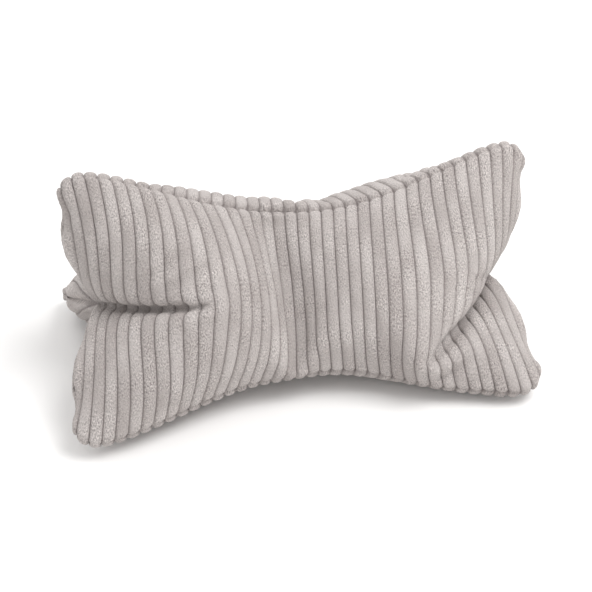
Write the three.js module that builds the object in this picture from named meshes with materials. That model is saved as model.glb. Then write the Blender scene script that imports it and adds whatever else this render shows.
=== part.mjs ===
import * as THREE from "three";

// Neck pillow in ribbed corduroy, in millimetres, +Z up. X runs along its length and -Y is its front.
// Three equal bone-shaped cuts are sewn edge to edge, which gives a round waist and three lobes at
// each end. It is stuffed and stands on its four lower lobes.

// The flat cut, measured from its centre
const RIB_PITCH = 11;
const HALF_RIBS = 20;
const NOTCH_RIB = 19;
const WAIST_HALF = 78;
const LOBE_OFFSET_LEFT = 121;
const LOBE_OFFSET_RIGHT = 117;
const LOBE_RADIUS = 27;
const SIDE_SLOPE = THREE.MathUtils.degToRad(20);
const END_TRIM = 2;

// Ribs that stand proud of the cloth
const RIB_HEIGHT = 2.2;
const RIB_STOPS = [0, 0.3, 0.7];
const SEAM_FADE = 9;

// Least thickness of a lobe's half, which grows from its sewn edges
const THIN_HALF = 1.6;
const THIN_SLOPE = 0.35;
const LOBE_INSET = 0.12;
const END_INSET = 24;

// Stuffing and weight, for one step of the settling
const PRESSURE = 0.0015;
const WEIGHT = 0.0016;
const FLOOR = -70;
const STEPS = 300;
const RISE_STEPS = 40;
const EASE_FROM = 0.6;
const EASE_TO = 0.4;
const DAMPING = 0.94;
const SWEEPS = 4;
const LOBE_THICKNESS = 22;

// Stiffness of the cloth, along the ribs and across them
const STRETCH = 0.9;
const SHEAR = 0.35;
const BEND_ACROSS = 0.04;
const BEND_ALONG = 0.02;
const BEND_SEAM = 0.2;

// Places where the stuffing pushes less, or more, as a line on a flat cut
const CREASES = [
  { panels: [0], fromX: 205, fromY: -8, toX: 125, toY: -75, width: 12, depth: 2.4 },
  { panels: [0], fromX: 180, fromY: 22, toX: 120, toY: 6, width: 24, depth: -0.4 },
  { panels: [0], fromX: -205, fromY: 0, toX: -115, toY: -6, width: 11, depth: 1.6 },
  { panels: [0, 1, 2], fromX: 190, fromY: 0, toX: 215, toY: 0, width: 40, depth: -1.6 },
];

const CREASE_TAPER = 0.4;

// Steps of the settled cloth: two columns to a rib, and rows from the middle line out to a seam
const COLUMN_PITCH = RIB_PITCH / 2;
const ROWS = 10;

// Rows of the solids, as shares of the way from the middle line to a seam
const ROW_STOPS = [0, 0.15, 0.3, 0.45, 0.6, 0.75, 0.88, 1];
const POLE_COLUMNS = 6;

const GAP = 0.32;
const NAMES = ["panel_front", "panel_under", "panel_back"];
const PANEL_TURN = THREE.MathUtils.degToRad(120);
const FRONT_FACING = THREE.MathUtils.degToRad(150);

const HALF_LENGTH = RIB_PITCH * HALF_RIBS;
const NOTCH = RIB_PITCH * NOTCH_RIB;
const CUT_HALF = HALF_LENGTH - END_TRIM;
const SIDES = [1, -1];

// Outer edge of the flat cut: a curve from the waist to the round tip of the lobe
function outerEdge(x) {
  const offset = x < 0 ? LOBE_OFFSET_LEFT : LOBE_OFFSET_RIGHT;
  const centre = HALF_LENGTH - LOBE_RADIUS;
  const joinX = centre - LOBE_RADIUS * Math.sin(SIDE_SLOPE);
  const joinY = offset + LOBE_RADIUS * Math.cos(SIDE_SLOPE);
  const reach = Math.abs(x);
  if (reach > joinX) {
    return offset + Math.sqrt(Math.max(0, LOBE_RADIUS ** 2 - (reach - centre) ** 2));
  }
  const u = reach / joinX;
  const fromWaist = 2 * u ** 3 - 3 * u ** 2 + 1;
  const toTip = 3 * u ** 2 - 2 * u ** 3;
  const slope = (u ** 3 - u ** 2) * joinX * Math.tan(SIDE_SLOPE);
  return WAIST_HALF * fromWaist + joinY * toTip + slope;
}

// Inner edge of the flat cut beyond the notch: a straight line to the round tip
function innerEdge(x) {
  const reach = Math.abs(x);
  if (reach <= NOTCH) {
    return 0;
  }
  const offset = x < 0 ? LOBE_OFFSET_LEFT : LOBE_OFFSET_RIGHT;
  const run = HALF_LENGTH - LOBE_RADIUS - NOTCH;
  const away = Math.hypot(run, offset);
  const angle = Math.atan2(offset, run) - Math.asin(LOBE_RADIUS / away);
  const length = Math.sqrt(away ** 2 - LOBE_RADIUS ** 2);
  const joinX = NOTCH + length * Math.cos(angle);
  if (reach <= joinX) {
    return (length * Math.sin(angle) * (reach - NOTCH)) / (joinX - NOTCH);
  }
  const centre = HALF_LENGTH - LOBE_RADIUS;
  return offset - Math.sqrt(Math.max(0, LOBE_RADIUS ** 2 - (reach - centre) ** 2));
}

// The panel whose lower seam is sewn to this panel's upper seam
const above = (panel) => (panel + 2) % 3;
const below = (panel) => (panel + 1) % 3;
const partner = (panel, side) => (side > 0 ? above(panel) : below(panel));

// Grid of cloth points with the seams joined. A point has a panel, a side, a column and a row.
function clothGrid() {
  const half = Math.round(HALF_LENGTH / COLUMN_PITCH);
  const columns = [];
  for (let i = -half; i <= half; i += 1) {
    columns.push(THREE.MathUtils.clamp(i * COLUMN_PITCH, -CUT_HALF, CUT_HALF));
  }
  const heights = columns.map((x) => {
    const inner = innerEdge(x);
    const outer = outerEdge(x);
    return Array.from({ length: ROWS + 1 }, (_, k) => inner + ((outer - inner) * k) / ROWS);
  });
  const slot = (panel, side, i, k) =>
    ((panel * 2 + (side > 0 ? 0 : 1)) * columns.length + i) * (ROWS + 1) + k;
  const parent = Array.from({ length: 6 * columns.length * (ROWS + 1) }, (_, i) => i);
  const root = (a) => {
    let at = a;
    while (parent[at] !== at) {
      at = parent[at];
    }
    return at;
  };
  const join = (a, b) => {
    const low = Math.min(root(a), root(b));
    parent[root(a)] = low;
    parent[root(b)] = low;
  };
  for (let panel = 0; panel < 3; panel += 1) {
    columns.forEach((x, i) => {
      const end = i === 0 || i === columns.length - 1;
      const open = Math.abs(x) < NOTCH + 1e-6;
      const past = Math.abs(x) > NOTCH - 1e-6;
      if (open) {
        join(slot(panel, 1, i, 0), slot(panel, -1, i, 0));
      }
      for (let k = 0; k <= ROWS; k += 1) {
        if (end || k === ROWS || (past && k === 0)) {
          join(slot(panel, 1, i, k), slot(above(panel), -1, i, k));
        }
      }
    });
  }
  const numbers = new Map();
  parent.forEach((_, a) => {
    if (!numbers.has(root(a))) {
      numbers.set(root(a), numbers.size);
    }
  });
  const point = parent.map((_, a) => numbers.get(root(a)));
  const at = (panel, side, i, k) => point[slot(panel, side, i, k)];
  const columnAt = (x) => {
    const i = Math.max(0, Math.min(columns.findLastIndex((place) => place <= x), columns.length - 2));
    return i + (x - columns[i]) / (columns[i + 1] - columns[i]);
  };
  return { columns, heights, at, columnAt, count: numbers.size };
}

// Faces and springs of the cloth, with lengths from the flat cut
function clothSprings(grid) {
  const { columns, heights, at, count } = grid;
  const springs = new Map();
  const faces = [];
  const add = (a, b, length, stiffness) => {
    if (a === b) {
      return;
    }
    const key = Math.min(a, b) * count + Math.max(a, b);
    const old = springs.get(key);
    if (old) {
      old.length = (old.length + length) / 2;
      old.stiffness = Math.max(old.stiffness, stiffness);
    } else {
      springs.set(key, { a: Math.min(a, b), b: Math.max(a, b), length, stiffness });
    }
  };
  const tie = (panel, side, i, k, di, dk, stiffness) => {
    const j = i + di;
    const m = k + dk;
    if (j >= columns.length || m < 0 || m > ROWS) {
      return;
    }
    const length = Math.hypot(columns[j] - columns[i], heights[j][m] - heights[i][k]);
    add(at(panel, side, i, k), at(panel, side, j, m), length, stiffness);
  };
  for (let panel = 0; panel < 3; panel += 1) {
    for (const side of SIDES) {
      for (let i = 0; i < columns.length; i += 1) {
        for (let k = 0; k <= ROWS; k += 1) {
          tie(panel, side, i, k, 0, 1, STRETCH);
          tie(panel, side, i, k, 1, 0, STRETCH);
          tie(panel, side, i, k, 1, 1, SHEAR);
          tie(panel, side, i, k, 1, -1, SHEAR);
          tie(panel, side, i, k, 0, 2, Math.abs(columns[i]) < NOTCH - 1e-6 ? BEND_ALONG : BEND_SEAM);
          tie(panel, side, i, k, 2, 0, k < ROWS ? BEND_ACROSS : BEND_SEAM);
          if (i + 1 < columns.length && k < ROWS) {
            const [a, b] = [at(panel, side, i, k), at(panel, side, i + 1, k)];
            const [d, c] = [at(panel, side, i, k + 1), at(panel, side, i + 1, k + 1)];
            const pair = side > 0 ? [[a, b, c], [a, c, d]] : [[a, c, b], [a, d, c]];
            faces.push(...pair.filter((face) => new Set(face).size === 3));
          }
        }
      }
    }
    columns.forEach((x, i) => {
      if (Math.abs(x) < NOTCH - 1e-6) {
        add(at(panel, 1, i, 1), at(panel, -1, i, 1), 2 * heights[i][1], BEND_ALONG);
      }
    });
  }
  return { springs: inRounds([...springs.values()], count), faces };
}

// Springs in rounds, so that no point is moved twice in one round
function inRounds(springs, count) {
  const used = Array.from({ length: count }, () => new Set());
  const rounds = [];
  for (const spring of springs) {
    let round = 0;
    while (used[spring.a].has(round) || used[spring.b].has(round)) {
      round += 1;
    }
    used[spring.a].add(round);
    used[spring.b].add(round);
    rounds[round] = rounds[round] ?? [];
    rounds[round].push(spring);
  }
  return rounds.flat();
}

// Share of the pressure that reaches each point
function stuffing(grid) {
  const fill = new Float64Array(grid.count).fill(1);
  const place = new THREE.Vector2();
  const start = new THREE.Vector2();
  const run = new THREE.Vector2();
  for (const crease of CREASES) {
    start.set(crease.fromX, crease.fromY);
    run.set(crease.toX, crease.toY).sub(start);
    const done = new Set();
    const press = (point, x, y) => {
      if (!done.has(point)) {
        done.add(point);
        place.set(x, y).sub(start);
        const share = THREE.MathUtils.clamp(place.dot(run) / run.lengthSq(), 0, 1);
        const away = place.addScaledVector(run, -share).length() / crease.width;
        fill[point] -= crease.depth * (1 - CREASE_TAPER * share) * Math.exp(-(away ** 2));
      }
    };
    for (const panel of crease.panels) {
      for (const side of SIDES) {
        grid.heights.forEach((line, i) => {
          line.forEach((y, k) => press(grid.at(panel, side, i, k), grid.columns[i], side * y));
        });
      }
    }
  }
  return fill;
}

// First guess: round at the waist and three flat lobes at the ends
function firstShape(grid) {
  const sums = new Float64Array(grid.count * 3);
  const shares = new Float64Array(grid.count);
  for (let panel = 0; panel < 3; panel += 1) {
    const facing = FRONT_FACING + panel * PANEL_TURN;
    for (const side of SIDES) {
      const seam = facing - (side * PANEL_TURN) / 2;
      grid.columns.forEach((x, i) => {
        const [inner, outer] = [grid.heights[i][0], grid.heights[i][ROWS]];
        const blend = THREE.MathUtils.smoothstep(Math.abs(x), 0, NOTCH);
        const bulge = LOBE_THICKNESS * Math.min(1, (outer - inner) / 60);
        for (let k = 0; k <= ROWS; k += 1) {
          const share = k / ROWS;
          const turn = facing - (side * PANEL_TURN * share) / 2;
          const thick = bulge * Math.sin(Math.PI * share);
          const round = 0.95 * outer * (1 - blend);
          const flat = 0.96 * grid.heights[i][k] * blend;
          const point = grid.at(panel, side, i, k);
          const out = thick * blend;
          sums[point * 3] += x;
          sums[point * 3 + 1] +=
            round * Math.cos(turn) + flat * Math.cos(seam) + out * Math.cos(facing);
          sums[point * 3 + 2] +=
            round * Math.sin(turn) + flat * Math.sin(seam) + out * Math.sin(facing);
          shares[point] += 1;
        }
      });
    }
  }
  return sums.map((value, i) => value / shares[Math.floor(i / 3)]);
}

// Push of the stuffing on each point: area vectors of the faces around it
function pushes(points, faces, fill, pressure) {
  const force = new Float64Array(points.length);
  for (const [a, b, c] of faces) {
    const [ax, ay, az] = [points[a * 3], points[a * 3 + 1], points[a * 3 + 2]];
    const [ux, uy, uz] = [points[b * 3] - ax, points[b * 3 + 1] - ay, points[b * 3 + 2] - az];
    const [vx, vy, vz] = [points[c * 3] - ax, points[c * 3 + 1] - ay, points[c * 3 + 2] - az];
    const push = [uy * vz - uz * vy, uz * vx - ux * vz, ux * vy - uy * vx];
    for (const point of [a, b, c]) {
      const share = (pressure * fill[point]) / 6;
      force[point * 3] += share * push[0];
      force[point * 3 + 1] += share * push[1];
      force[point * 3 + 2] += share * push[2];
    }
  }
  return force;
}

function pullSpring(points, { a, b, length, stiffness }) {
  const dx = points[b * 3] - points[a * 3];
  const dy = points[b * 3 + 1] - points[a * 3 + 1];
  const dz = points[b * 3 + 2] - points[a * 3 + 2];
  const now = Math.sqrt(dx * dx + dy * dy + dz * dz) + 1e-9;
  const share = (0.5 * stiffness * (now - length)) / now;
  points[a * 3] += dx * share;
  points[a * 3 + 1] += dy * share;
  points[a * 3 + 2] += dz * share;
  points[b * 3] -= dx * share;
  points[b * 3 + 1] -= dy * share;
  points[b * 3 + 2] -= dz * share;
}

// Settle the stuffed cover on its floor
function settle(grid) {
  const { springs, faces } = clothSprings(grid);
  const fill = stuffing(grid);
  let points = firstShape(grid);
  const speed = new Float64Array(points.length);
  for (let step = 0; step < STEPS; step += 1) {
    const rise = Math.min(1, (step + 1) / RISE_STEPS);
    const ease = step < STEPS * EASE_FROM ? 1 : EASE_TO;
    const force = pushes(points, faces, fill, PRESSURE * rise * ease);
    const next = new Float64Array(points.length);
    for (let i = 0; i < points.length; i += 1) {
      const fall = i % 3 === 2 ? WEIGHT : 0;
      speed[i] = (speed[i] + force[i] - fall) * DAMPING;
      next[i] = points[i] + speed[i];
    }
    for (let sweep = 0; sweep < SWEEPS; sweep += 1) {
      for (const spring of springs) {
        pullSpring(next, spring);
      }
      for (let i = 2; i < next.length; i += 3) {
        next[i] = Math.max(next[i], FLOOR);
      }
    }
    for (let i = 0; i < points.length; i += 1) {
      speed[i] = next[i] - points[i];
    }
    points = next;
  }
  return points;
}

// Weights of the four grid lines around a place between them
function curveWeights(u) {
  return [
    ((2 - u) * u - 1) * u * 0.5,
    ((3 * u - 5) * u * u + 2) * 0.5,
    ((4 - 3 * u) * u + 1) * u * 0.5,
    (u - 1) * u * u * 0.5,
  ];
}

// Smooth surface through the settled points
function smoothSurface(grid, points) {
  const last = grid.columns.length - 1;
  const read = (panel, side, i, k) => {
    const at = grid.at(panel, side, i, k) * 3;
    return new THREE.Vector3(points[at], points[at + 1], points[at + 2]);
  };
  const fetch = (panel, side, i, k) => {
    const j = THREE.MathUtils.clamp(i, 0, last);
    if (k > ROWS) {
      return read(panel, side, j, ROWS).multiplyScalar(2).sub(read(panel, side, j, 2 * ROWS - k));
    }
    if (k >= 0) {
      return read(panel, side, j, k);
    }
    if (Math.abs(grid.columns[j]) < NOTCH - 1e-6) {
      return read(panel, -side, j, -k);
    }
    return read(panel, side, j, 0).multiplyScalar(2).sub(read(panel, side, j, -k));
  };
  return (panel, side, column, row) => {
    const i = Math.min(Math.floor(column), last - 1);
    const k = Math.min(Math.floor(row), ROWS - 1);
    const acrossWeights = curveWeights(column - i);
    const alongWeights = curveWeights(row - k);
    const out = new THREE.Vector3();
    acrossWeights.forEach((wi, di) => {
      alongWeights.forEach((wk, dk) => {
        if (wi * wk !== 0) {
          out.addScaledVector(fetch(panel, side, i + di - 1, k + dk - 1), wi * wk);
        }
      });
    });
    return out;
  };
}

// Columns of the solids: a valley and two shoulders for each rib, but plain ends past the notches
function ribColumns(grid) {
  const stops = [];
  for (let rib = -HALF_RIBS; rib < HALF_RIBS; rib += 1) {
    const shares = rib < -NOTCH_RIB || rib >= NOTCH_RIB ? [0] : RIB_STOPS;
    shares.forEach((share) => stops.push({ x: (rib + share) * RIB_PITCH, raised: share > 0 }));
  }
  stops.push({ x: HALF_LENGTH, raised: false });
  return stops.map(({ x, raised }) => {
    const flat = THREE.MathUtils.clamp(x, -CUT_HALF, CUT_HALF);
    return { x: flat, column: grid.columnAt(flat), raised, open: Math.abs(flat) < NOTCH - 1e-6 };
  });
}

// Directions square to a panel at a column and row, pointing out of the cushion
function facingAt(surface, grid, panel, side, stop, row) {
  const step = 0.05;
  const last = grid.columns.length - 1;
  const c0 = Math.max(stop.column - step, 0);
  const c1 = Math.min(stop.column + step, last);
  const r0 = stop.open ? row - step : Math.max(row - step, 0);
  const r1 = Math.min(row + step, ROWS);
  const across = surface(panel, side, c1, row).sub(surface(panel, side, c0, row));
  const along = surface(panel, side, stop.column, r1).sub(surface(panel, side, stop.column, r0));
  return across.cross(along.multiplyScalar(side)).normalize();
}

// Flat distance from a point of the cut to its nearest sewn edge
function fromSeam(stop, share) {
  const width = outerEdge(stop.x) - innerEdge(stop.x);
  const toEnd = CUT_HALF - Math.abs(stop.x);
  return Math.min((1 - share) * width, stop.open ? Infinity : Math.min(share * width, toEnd));
}

// Points of the ribbed outside of each panel, by panel, side, column and row
function ribbedSkin(grid, surface, stops) {
  const skin = {};
  for (let panel = 0; panel < 3; panel += 1) {
    for (const side of SIDES) {
      skin[[panel, side]] = stops.map((stop) =>
        ROW_STOPS.map((share) => {
          const out = facingAt(surface, grid, panel, side, stop, share * ROWS);
          const rise = stop.raised ? RIB_HEIGHT * Math.min(1, fromSeam(stop, share) / SEAM_FADE) : 0;
          return surface(panel, side, stop.column, share * ROWS).addScaledVector(out, rise);
        }),
      );
    }
  }
  return skin;
}

// Directions across each lobe, from the panel below its seam to the panel above. Where the two
// panels lie too near each other, they are moved apart.
function lobeDirections(grid, surface, stops, skin) {
  const across = {};
  for (let panel = 0; panel < 3; panel += 1) {
    const next = above(panel);
    across[panel] = stops.map((stop, j) =>
      ROW_STOPS.map((share, r) => {
        const x = THREE.MathUtils.clamp(stop.x, -CUT_HALF + END_INSET, CUT_HALF - END_INSET);
        const place = { column: grid.columnAt(x), open: true };
        const height = innerEdge(stop.x) + share * (outerEdge(stop.x) - innerEdge(stop.x));
        const near = THREE.MathUtils.clamp(height / outerEdge(x), LOBE_INSET, 1 - LOBE_INSET);
        const out = facingAt(surface, grid, panel, 1, place, near * ROWS);
        out.sub(facingAt(surface, grid, next, -1, place, near * ROWS)).normalize();
        const [own, other] = [skin[[panel, 1]][j][r], skin[[next, -1]][j][r]];
        const wanted = 2 * Math.min(THIN_HALF, THIN_SLOPE * fromSeam(stop, share));
        const lack = wanted - own.clone().sub(other).dot(out);
        if (lack > 0 && (r > 0 || !stop.open)) {
          own.addScaledVector(out, lack / 2);
          other.addScaledVector(out, -lack / 2);
        }
        return out;
      }),
    );
  }
  for (let panel = 0; panel < 3; panel += 1) {
    stops.forEach((stop, j) => {
      if (stop.open) {
        skin[[panel, -1]][j][0] = skin[[panel, 1]][j][0];
      }
    });
  }
  return across;
}

// A closed body from faces given by corner places
function bodyFrom(corners) {
  const places = [];
  const index = [];
  const known = new Map();
  for (const face of corners) {
    const ids = face.map((corner) => {
      const key = corner.toArray().map((value) => Math.round(value * 1000)).join(" ");
      if (!known.has(key)) {
        known.set(key, places.length / 3);
        places.push(...corner.toArray());
      }
      return known.get(key);
    });
    if (new Set(ids).size === 3) {
      index.push(...ids);
    }
  }
  const geometry = new THREE.BufferGeometry();
  geometry.setAttribute("position", new THREE.Float32BufferAttribute(places, 3));
  geometry.setIndex(index);
  geometry.computeVertexNormals();
  return geometry;
}

// Faces between two lines of points, each point with how far along its line it lies
function between(first, second, flip) {
  const faces = [];
  let i = 0;
  let j = 0;
  while (i + 1 < first.length || j + 1 < second.length) {
    const useFirst =
      j + 1 >= second.length || (i + 1 < first.length && first[i + 1].along <= second[j + 1].along);
    const third = useFirst ? first[i + 1] : second[j + 1];
    const face = [first[i].place, second[j].place, third.place];
    faces.push(flip ? face.reverse() : face);
    if (useFirst) {
      i += 1;
    } else {
      j += 1;
    }
  }
  return faces;
}

// One panel with the stuffing behind it, down to the faces that part it from its neighbours
function panelBody(panel, skin, across, stops) {
  const lastRow = ROW_STOPS.length - 1;
  const lastColumn = stops.length - 1;
  const mid = (q, j) => skin[[q, 1]][j][0];
  const centre = (j) => mid(0, j).clone().add(mid(1, j)).add(mid(2, j)).divideScalar(3);
  const parting = (side, j, r) => {
    const other = skin[[partner(panel, side), -side]][j][r];
    const middle = skin[[panel, side]][j][r].clone().add(other).divideScalar(2);
    const out = across[side > 0 ? panel : below(panel)][j][r];
    return middle.addScaledVector(out, (side * GAP) / 2);
  };
  const core = (j) => {
    const near = THREE.MathUtils.clamp(j, POLE_COLUMNS, lastColumn - POLE_COLUMNS);
    const out = mid(panel, near).clone().sub(centre(near)).normalize();
    return centre(j).addScaledVector(out, GAP / 2 / Math.sin(PANEL_TURN / 2));
  };
  const isEnd = (j) => j === 0 || j === lastColumn;
  const isPole = (j) => !stops[j].open && (stops[j - 1]?.open || stops[j + 1]?.open);
  const heights = (j) => {
    const [inner, outer] = [innerEdge(stops[j].x), outerEdge(stops[j].x)];
    return ROW_STOPS.map((share) => inner + share * (outer - inner));
  };
  const outside = (side, j) =>
    heights(j).map((along, r) => {
      if (r === 0 && isPole(j)) {
        return { along, place: core(j) };
      }
      const sewn = isEnd(j) || r === lastRow || (r === 0 && !stops[j].open);
      return { along, place: sewn ? parting(side, j, r) : skin[[panel, side]][j][r] };
    });
  const inside = (side, j) => {
    const line = heights(j).map((along, r) => ({ along, place: parting(side, j, r) }));
    if (stops[j].open || isPole(j)) {
      line[0].place = core(j);
    }
    return line;
  };
  const faces = [];
  for (const side of SIDES) {
    for (let j = 0; j < lastColumn; j += 1) {
      faces.push(...between(outside(side, j), outside(side, j + 1), side < 0));
    }
    for (let j = 0; j < lastColumn; ) {
      const step = stops[j].open || stops[j + 1].open ? RIB_STOPS.length : 1;
      const lines = [inside(side, j), inside(side, j + step)];
      if (step > 1) {
        const rim = lines.map((line, i) => ({ along: i, place: line[lastRow - 1].place }));
        const seam = Array.from({ length: step + 1 }, (_, i) => ({
          along: i / step,
          place: parting(side, j + i, lastRow),
        }));
        faces.push(...between(rim, seam, side < 0));
        lines.forEach((line) => line.pop());
      }
      faces.push(...between(lines[0], lines[1], side > 0));
      j += step;
    }
  }
  return bodyFrom(faces);
}

function corduroy(colour) {
  return new THREE.MeshStandardMaterial({ color: colour, roughness: 0.95, metalness: 0 });
}

const grid = clothGrid();
const settled = settle(grid);
const surface = smoothSurface(grid, settled);
const stops = ribColumns(grid);
const skin = ribbedSkin(grid, surface, stops);
const across = lobeDirections(grid, surface, stops, skin);

// Rest the skin on its floor, with the middle of its box above the origin
const box = new THREE.Box3();
const skinPoints = new Set(Object.values(skin).flat(2));
skinPoints.forEach((point) => {
  point.z = Math.max(point.z, FLOOR) - FLOOR;
  box.expandByPoint(point);
});
const centre = box.getCenter(new THREE.Vector3());
skinPoints.forEach((point) => {
  point.x -= centre.x;
  point.y -= centre.y;
});

const pillow = new THREE.Group();
NAMES.forEach((name, panel) => {
  const mesh = new THREE.Mesh(panelBody(panel, skin, across, stops), corduroy("#b4aba7"));
  mesh.name = name;
  pillow.add(mesh);
});

export default pillow;
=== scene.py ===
"""Neck pillow in wide-wale corduroy: three bone-shaped cuts, sewn edge to edge and stuffed.

The cover is sewn and settled from its flat cut, its ribs are raised on the settled cloth, and a
studio with a floor, lights and a camera is set round it. Cloth is worked out in millimetres, with
the length of the pillow along X and its front towards -Y, and meshes are made in metres.
"""

import math
from functools import partial

import bpy
import numpy as np
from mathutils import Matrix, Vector


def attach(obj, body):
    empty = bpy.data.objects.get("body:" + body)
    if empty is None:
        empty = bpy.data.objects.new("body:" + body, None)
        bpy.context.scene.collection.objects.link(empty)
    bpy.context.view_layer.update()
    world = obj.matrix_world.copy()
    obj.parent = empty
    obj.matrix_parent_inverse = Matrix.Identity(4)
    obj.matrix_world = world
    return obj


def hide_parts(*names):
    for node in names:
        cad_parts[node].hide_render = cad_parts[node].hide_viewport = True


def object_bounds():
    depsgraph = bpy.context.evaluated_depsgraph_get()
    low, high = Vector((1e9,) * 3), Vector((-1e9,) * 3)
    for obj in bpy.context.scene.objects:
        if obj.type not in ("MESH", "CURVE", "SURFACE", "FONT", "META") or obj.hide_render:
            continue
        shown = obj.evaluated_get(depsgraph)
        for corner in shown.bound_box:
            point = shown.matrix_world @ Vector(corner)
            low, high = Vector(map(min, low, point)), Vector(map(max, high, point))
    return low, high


bl_info = {
    "name": "Corduroy neck pillow",
    "version": (1, 0, 0),
    "blender": (4, 5, 0),
    "location": "3D View > Sidebar > Pillow",
    "description": "Sews, stuffs and finishes a neck pillow of three ribbed panels",
    "category": "Object",
}

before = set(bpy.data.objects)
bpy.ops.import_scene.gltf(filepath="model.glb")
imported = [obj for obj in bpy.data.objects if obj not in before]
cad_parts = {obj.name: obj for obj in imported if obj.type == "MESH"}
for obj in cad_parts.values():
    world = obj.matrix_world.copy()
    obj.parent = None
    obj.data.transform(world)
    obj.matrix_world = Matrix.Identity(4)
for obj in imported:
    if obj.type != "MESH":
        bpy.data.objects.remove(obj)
CAD_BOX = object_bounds()

MM = 0.001
PANELS = ("panel_front", "panel_under", "panel_back")
PANEL_TURN = math.radians(120)
FRONT_FACING = math.radians(150)
SIDES = (1, -1)

# Distance within which a column of cloth points counts as being at the notch
TOUCH = 1e-6

# Cloth grids for the settling: columns run along the ribs, and rows from the middle line to a seam
COARSE = {"per_rib": 2, "rows": 10}
FINE = {"per_rib": 2, "rows": 30, "end_steps": 6}

# Cover mesh: places of the columns in a rib, and rows that crowd towards the long seam
RIB_STOPS = (0, 0.05, 0.12, 0.22, 0.36, 0.5, 0.64, 0.78, 0.88, 0.95)
COVER_ROWS = 41
ROW_CROWDING = 1.5

# First guess at the shape: slack of its round and flat parts, and width from which a lobe is full
ROUND_SLACK = 0.95
FLAT_SLACK = 0.96
FULL_WIDTH = 60

# Settling: the push grows over its first steps, and in the coarse cloth it eases after a share of
# all steps. Sweeps are the rounds of pulling in each step that bring the threads to their length.
FLOOR_LEVEL = -70
RISE_STEPS = 40
EASE_FROM = 0.6
EASE_TO = 0.4
NEVER = 1
DAMPING = 0.94
SWEEPS = 4
FINE_SWEEPS = 6

# Rows of each trimmed end that are laid in line with its end seam
END_ROWS = 8

# Points along the edges to which the way to a seam is measured, in batches that fit in memory
EDGE_STEPS = 1200
END_STEPS = 40
DISTANCE_BATCHES = 200

# Lines on a flat panel along which the stuffing pushes less, or more where the depth is negative
CREASES = (
    {"panels": (0,), "start": (205, -8), "end": (130, -60), "width": 12, "depth": 2.4},
    {"panels": (0,), "start": (180, 22), "end": (120, 6), "width": 24, "depth": -0.7},
    {"panels": (0,), "start": (-205, 0), "end": (-130, -3), "width": 10, "depth": 1.3},
    {"panels": (0, 1, 2), "start": (190, 0), "end": (215, 0), "width": 40, "depth": -1.6},
)
CREASE_TAPER = 0.4

# An end edge runs beside a rib, so the rib rounds down over a shorter way than at a long edge
END_NEARNESS = 2

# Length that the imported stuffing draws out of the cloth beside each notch
DRAWN_LENGTH = 28
DRAWN_WIDTH = 60
DRAWN_START = 60

# Folds and bulges that the finer cloth shows where the coarse one only dips
FOLDS = (
    {"panels": (0,), "start": (-204, 0), "end": (-142, -2), "width": 4.5, "depth": 3},
    {"panels": (0,), "start": (-190, 18), "end": (-140, 14), "width": 9, "depth": -2.2},
    {"panels": (0,), "start": (192, 9), "end": (148, -26), "width": 9, "depth": -1.6},
    {"panels": (0,), "start": (204, -4), "end": (150, -42), "width": 5, "depth": 5},
    {"panels": (0,), "start": (-24, 62), "end": (-10, -30), "width": 12, "depth": 13},
)

# Kinds of node that are used again and again
MATHS = "ShaderNodeMath"
VECTOR = "ShaderNodeVectorMath"
NOISE = "ShaderNodeTexNoise"
ATTRIBUTE = "GeometryNodeInputNamedAttribute"

# Relief: sizes that the ribs take, the wandering of their height over some 36 mm and from rib to
# rib, and how far their ends stay in the seam's shade
RIB_SIZES = (
    "Rib pitch",
    "Rib height",
    "Rib flatness",
    "Uneven height",
    "Rib end",
    "Seam groove",
    "End swell",
)
WANDER_SCALE = 28.0
WANDER_STEP = 0.7
SEAM_SHADE = 0.4

# Pile: brushed patches of 50 mm, the grain of its tufts, 1.1 mm across the ribs and 1.9 mm along
# them, and the patches of 22 mm in which the tufts stand apart. Scales are per metre. A range is
# the part of the noise that is stretched over all tones.
PATCH_SCALE = 20.0
PATCH_STEP = 0.1
PATCH_RANGE = (0.3, 0.7)
GRAIN_SCALE = (900.0, 520.0, 1.0)
GRAIN_DEPTH = 0.0024
LOOSE_SCALE = 45.0
LOOSE_RANGE = (0.35, 0.65)
GRAIN_CONTRAST = (0.9, 2.8)
# Power of the fade to the valley colour, partly ground cloth and partly painted shade
VALLEY_FADE = 1.6
SHEEN_TINT = "#f2ece8"

# Studio, in metres, with the shift of the picture in shares of its width
FLOOR_HALF = 4.0
TOOTH_SCALE = 700.0
TOOTH_DEPTH = 0.0002
LIGHTS = (
    {"name": "key", "place": (0.6, -0.5, 1.5), "size": 0.9, "share": 1.0},
    {"name": "rim", "place": (-0.6, 1.1, 0.9), "size": 0.8, "share": 0.3},
)
SHIFT = (3 / 592, -37.5 / 592)


def linear(hex_colour):
    """Linear RGBA of an sRGB colour written as six hex digits."""
    channels = [int(hex_colour[i : i + 2], 16) / 255 for i in (1, 3, 5)]
    return (*(c / 12.92 if c <= 0.04045 else ((c + 0.055) / 1.055) ** 2.4 for c in channels), 1.0)


def add_node(tree, kind, links=(), **settings):
    """Add a node to a tree, with its settings and links.

    Links holds what feeds each input, in the order of the inputs or by their names: a value, an
    output, or a node whose first output is meant.
    """
    node = tree.nodes.new(kind)
    for name, value in settings.items():
        setattr(node, name, value)
    for name, value in links.items() if isinstance(links, dict) else enumerate(links):
        if isinstance(value, bpy.types.Node):
            value = value.outputs[0]
        if isinstance(value, bpy.types.NodeSocket):
            tree.links.new(value, node.inputs[name])
        else:
            node.inputs[name].default_value = value
    return node


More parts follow.
